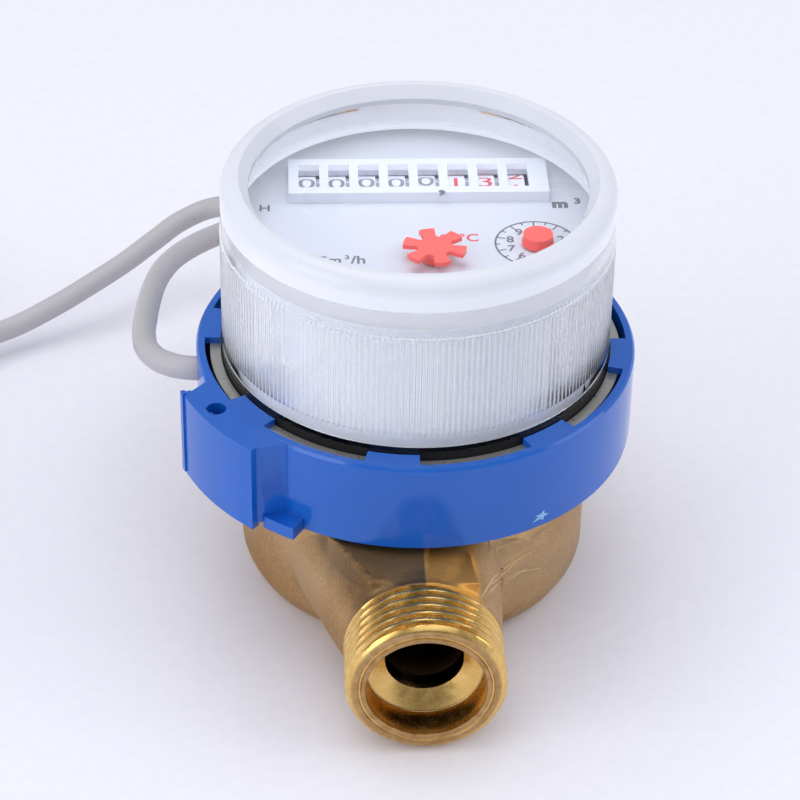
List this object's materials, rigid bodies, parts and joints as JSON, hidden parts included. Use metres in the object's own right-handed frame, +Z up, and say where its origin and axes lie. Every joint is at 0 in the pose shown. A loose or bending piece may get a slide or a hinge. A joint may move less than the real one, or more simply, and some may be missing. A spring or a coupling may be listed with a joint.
{
  "type": "water meter",
  "caption": "Single-jet water meter: cast brass body with threaded pipe ends, clear register with dial and number wheels, plastic locking ring and a pulse lead.",
  "frame": {"origin": "centre of the bowl's flat bottom, on the dial's axis", "axes": "+Z up along the dial's axis, pipe along Y with the outlet toward -Y, +X to the right of someone who reads the dial"},
  "size_m": [0.1893, 0.1521, 0.0776],
  "materials": {
    "cast_brass": "cast, bare",
    "blue_plastic": "moulded, glossy",
    "clear_plastic": "clear, ribbed",
    "white_plastic": "moulded, satin",
    "grey_shell": "moulded, matt",
    "steel": "turned",
    "black_plastic": "moulded, matt",
    "black_rubber": "moulded",
    "grey_rubber": "moulded",
    "natural_plastic": "moulded",
    "number_wheel": "moulded, printed",
    "coral_plastic": "moulded, satin",
    "magnet": "pressed ferrite",
    "bearing": "polished",
    "board": "laminate",
    "reed_glass": "clear",
    "cable_jacket": "smooth",
    "cable_tie": "moulded",
    "copper_cores": "bare"
  },
  "bodies": {
    "meter": {"brass_body": "cast_brass", "inlet_strainer": "natural_plastic", "pivot_pin": "steel", "impeller_bush": "bearing", "pressure_plate": "natural_plastic", "plate_seal": "black_rubber", "clamp_ring": "cast_brass", "locking_ring": "blue_plastic", "retaining_washer": "steel", "register_base": "black_plastic", "case_gasket": "black_rubber", "register_case": "clear_plastic", "bezel_ring": "white_plastic", "inner_shell": "grey_shell", "gear_frame": "natural_plastic", "upper_plate": "natural_plastic", "dial_plate": "white_plastic", "rotor_pin": "steel", "wheel_shaft": "steel", "carry_shaft": "steel", "sensor_board": "board", "reed_switch": "reed_glass", "inner_lead": "cable_jacket", "cable_grommet": "grey_rubber", "signal_cable": "cable_jacket", "cable_coil": "cable_jacket", "cable_tie": "cable_tie", "cable_cores": "copper_cores"},
    "impeller": {"impeller": "natural_plastic", "impeller_magnet": "magnet"},
    "rotor": {"drive_rotor": "natural_plastic", "rotor_magnet": "magnet"},
    "star": {"star_gear": "natural_plastic", "star_wheel": "coral_plastic"},
    "middle": {"middle_gear": "natural_plastic"},
    "pointer": {"pointer_gear": "natural_plastic", "pointer_disc": "coral_plastic", "pulse_magnet": "magnet"},
    "worm": {"worm_arbor": "natural_plastic"},
    "wheel_1": {"number_wheel_1": "number_wheel"},
    "wheel_2": {"number_wheel_2": "number_wheel"},
    "wheel_3": {"number_wheel_3": "number_wheel"},
    "wheel_4": {"number_wheel_4": "number_wheel"},
    "wheel_5": {"number_wheel_5": "number_wheel"},
    "wheel_6": {"number_wheel_6": "number_wheel"},
    "wheel_7": {"number_wheel_7": "number_wheel"},
    "wheel_8": {"number_wheel_8": "number_wheel"},
    "carry_1": {"carry_pinion_1": "natural_plastic"},
    "carry_2": {"carry_pinion_2": "natural_plastic"},
    "carry_3": {"carry_pinion_3": "natural_plastic"},
    "carry_4": {"carry_pinion_4": "natural_plastic"},
    "carry_5": {"carry_pinion_5": "natural_plastic"},
    "carry_6": {"carry_pinion_6": "natural_plastic"},
    "carry_7": {"carry_pinion_7": "natural_plastic"}
  },
  "joints": [
    {"name": "impeller_spin", "type": "hinge", "parent": "meter", "child": "impeller", "pos_m": [0, 0, 0.014], "axis": [0, 0, 1], "continuous": true},
    {"name": "rotor_spin", "type": "hinge", "parent": "meter", "child": "rotor", "pos_m": [0, 0, 0.044], "axis": [0, 0, 1], "continuous": true},
    {"name": "star_spin", "type": "hinge", "parent": "meter", "child": "star", "pos_m": [0.00215, -0.0118, 0.05], "axis": [0, 0, 1], "continuous": true},
    {"name": "middle_spin", "type": "hinge", "parent": "meter", "child": "middle", "pos_m": [0.00948, -0.00359, 0.05], "axis": [0, 0, 1], "continuous": true},
    {"name": "pointer_spin", "type": "hinge", "parent": "meter", "child": "pointer", "pos_m": [0.0193, -0.0073, 0.05], "axis": [0, 0, 1], "continuous": true},
    {"name": "worm_spin", "type": "hinge", "parent": "meter", "child": "worm", "pos_m": [0.02149, 0.0034, 0.055], "axis": [0, 0, 1], "continuous": true},
    {"name": "wheel_8_spin", "type": "hinge", "parent": "meter", "child": "wheel_8", "pos_m": [0.01729, 0.0114, 0.0605], "axis": [1, 0, 0], "continuous": true},
    {"name": "wheel_7_spin", "type": "hinge", "parent": "meter", "child": "wheel_7", "pos_m": [0.01225, 0.0114, 0.0605], "axis": [1, 0, 0], "continuous": true},
    {"name": "wheel_6_spin", "type": "hinge", "parent": "meter", "child": "wheel_6", "pos_m": [0.00722, 0.0114, 0.0605], "axis": [1, 0, 0], "continuous": true},
    {"name": "wheel_5_spin", "type": "hinge", "parent": "meter", "child": "wheel_5", "pos_m": [0.00219, 0.0114, 0.0605], "axis": [1, 0, 0], "continuous": true},
    {"name": "wheel_4_spin", "type": "hinge", "parent": "meter", "child": "wheel_4", "pos_m": [-0.00285, 0.0114, 0.0605], "axis": [1, 0, 0], "continuous": true},
    {"name": "wheel_3_spin", "type": "hinge", "parent": "meter", "child": "wheel_3", "pos_m": [-0.00788, 0.0114, 0.0605], "axis": [1, 0, 0], "continuous": true},
    {"name": "wheel_2_spin", "type": "hinge", "parent": "meter", "child": "wheel_2", "pos_m": [-0.01292, 0.0114, 0.0605], "axis": [1, 0, 0], "continuous": true},
    {"name": "wheel_1_spin", "type": "hinge", "parent": "meter", "child": "wheel_1", "pos_m": [-0.01795, 0.0114, 0.0605], "axis": [1, 0, 0], "continuous": true},
    {"name": "carry_7_spin", "type": "hinge", "parent": "meter", "child": "carry_7", "pos_m": [0.01425, 0.0114, 0.0507], "axis": [1, 0, 0], "continuous": true},
    {"name": "carry_6_spin", "type": "hinge", "parent": "meter", "child": "carry_6", "pos_m": [0.00922, 0.0114, 0.0507], "axis": [1, 0, 0], "continuous": true},
    {"name": "carry_5_spin", "type": "hinge", "parent": "meter", "child": "carry_5", "pos_m": [0.00419, 0.0114, 0.0507], "axis": [1, 0, 0], "continuous": true},
    {"name": "carry_4_spin", "type": "hinge", "parent": "meter", "child": "carry_4", "pos_m": [-0.00085, 0.0114, 0.0507], "axis": [1, 0, 0], "continuous": true},
    {"name": "carry_3_spin", "type": "hinge", "parent": "meter", "child": "carry_3", "pos_m": [-0.00588, 0.0114, 0.0507], "axis": [1, 0, 0], "continuous": true},
    {"name": "carry_2_spin", "type": "hinge", "parent": "meter", "child": "carry_2", "pos_m": [-0.01092, 0.0114, 0.0507], "axis": [1, 0, 0], "continuous": true},
    {"name": "carry_1_spin", "type": "hinge", "parent": "meter", "child": "carry_1", "pos_m": [-0.01595, 0.0114, 0.0507], "axis": [1, 0, 0], "continuous": true}
  ],
  "couplings": [
    {"joint": "rotor_spin", "follows": "impeller_spin", "ratio": 1},
    {"joint": "star_spin", "follows": "impeller_spin", "ratio": -0.25},
    {"joint": "middle_spin", "follows": "impeller_spin", "ratio": 0.083333},
    {"joint": "pointer_spin", "follows": "impeller_spin", "ratio": -0.033333},
    {"joint": "worm_spin", "follows": "impeller_spin", "ratio": 0.033333},
    {"joint": "wheel_8_spin", "follows": "impeller_spin", "ratio": 0.0033333},
    {"joint": "wheel_7_spin", "follows": "impeller_spin", "ratio": 0.00033333},
    {"joint": "wheel_6_spin", "follows": "impeller_spin", "ratio": 0.000033333},
    {"joint": "wheel_5_spin", "follows": "impeller_spin", "ratio": 0.0000033333},
    {"joint": "wheel_4_spin", "follows": "impeller_spin", "ratio": 0.00000033333},
    {"joint": "wheel_3_spin", "follows": "impeller_spin", "ratio": 0.000000033333},
    {"joint": "wheel_2_spin", "follows": "impeller_spin", "ratio": 0.0000000033333},
    {"joint": "wheel_1_spin", "follows": "impeller_spin", "ratio": 0.00000000033333},
    {"joint": "carry_7_spin", "follows": "impeller_spin", "ratio": -0.00083333},
    {"joint": "carry_6_spin", "follows": "impeller_spin", "ratio": -0.000083333},
    {"joint": "carry_5_spin", "follows": "impeller_spin", "ratio": -0.0000083333},
    {"joint": "carry_4_spin", "follows": "impeller_spin", "ratio": -0.00000083333},
    {"joint": "carry_3_spin", "follows": "impeller_spin", "ratio": -0.000000083333},
    {"joint": "carry_2_spin", "follows": "impeller_spin", "ratio": -0.0000000083333},
    {"joint": "carry_1_spin", "follows": "impeller_spin", "ratio": -0.00000000083333}
  ]
}
